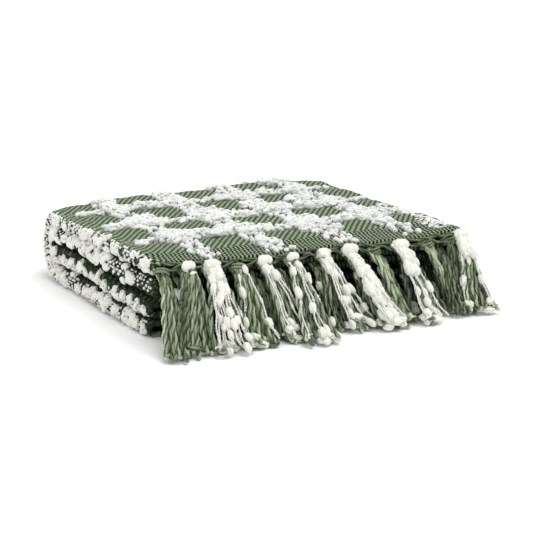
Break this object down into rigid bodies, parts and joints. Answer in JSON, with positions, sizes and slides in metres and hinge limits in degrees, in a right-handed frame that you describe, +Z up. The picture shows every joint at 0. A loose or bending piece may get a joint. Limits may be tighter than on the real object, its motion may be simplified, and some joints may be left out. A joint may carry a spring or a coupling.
{
  "type": "folded chenille throw",
  "caption": "Chunky check throw folded into a low stack, with the fold at the back and a knotted fringe falling to the surface along the front.",
  "frame": {"origin": "on the flat underside of the lowest ply, below the middle of the stack", "axes": "+X along the fringed front edge to the right, +Y to the fold at the back, +Z up"},
  "size_m": [0.3579, 0.4022, 0.0737],
  "materials": {
    "check_cloth": "green and off-white check with raised chenille slubs",
    "fringe_yarn": "twisted green cotton and off-white slub yarn"
  },
  "bodies": {
    "root": {"throw_cloth": "check_cloth", "upper_fringe": "fringe_yarn", "lower_fringe": "fringe_yarn"}
  },
  "joints": []
}
